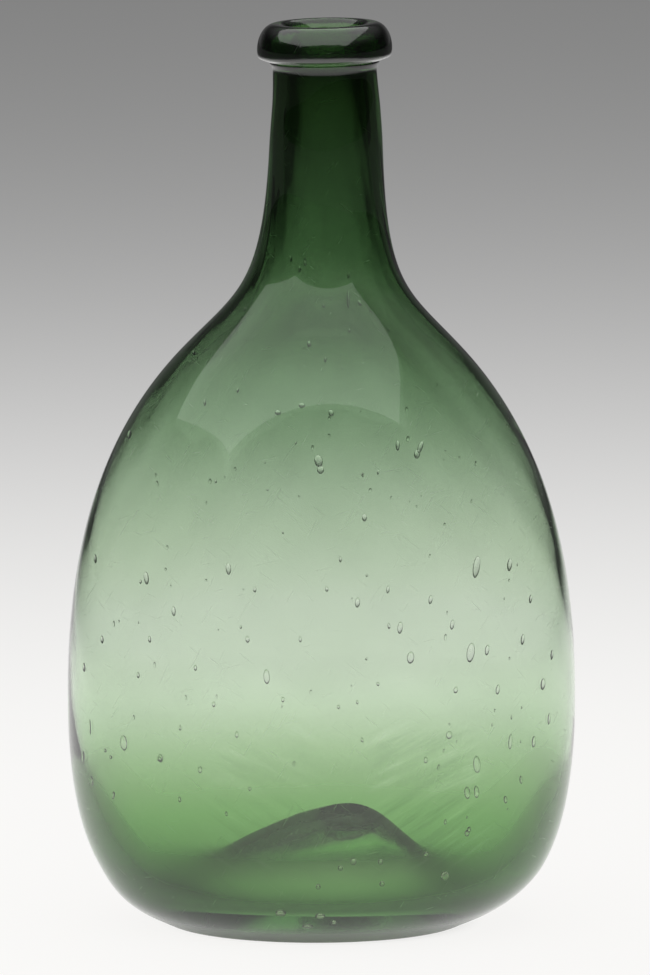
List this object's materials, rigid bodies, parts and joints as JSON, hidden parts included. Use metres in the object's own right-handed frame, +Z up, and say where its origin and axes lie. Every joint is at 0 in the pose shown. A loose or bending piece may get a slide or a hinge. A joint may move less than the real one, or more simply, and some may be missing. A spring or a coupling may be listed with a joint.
{
  "type": "chestnut flask",
  "caption": "Free blown, flattened glass flask with a tall round neck, a laid-on ring lip, a pushed-up base and a rough pontil scar; it stands on a narrow flat ring and is open at the mouth.",
  "frame": {"origin": "on the floor, under the middle of the flattened body", "axes": "+Z up along the neck, +X along the broad width of the body, +Y along its flat depth; the broad face seen in the picture looks towards -Y"},
  "size_m": [0.1284, 0.0924, 0.229],
  "materials": {
    "body_glass": "clear green bottle glass, fire polished, with seeds and faint scratches",
    "lip_glass": "the same green glass, thicker and darker, tooled smooth",
    "scar_glass": "the same green glass, broken off rough and left unpolished"
  },
  "bodies": {
    "root": {"flask_body": "body_glass", "applied_lip": "lip_glass", "pontil_scar": "scar_glass"}
  },
  "joints": []
}
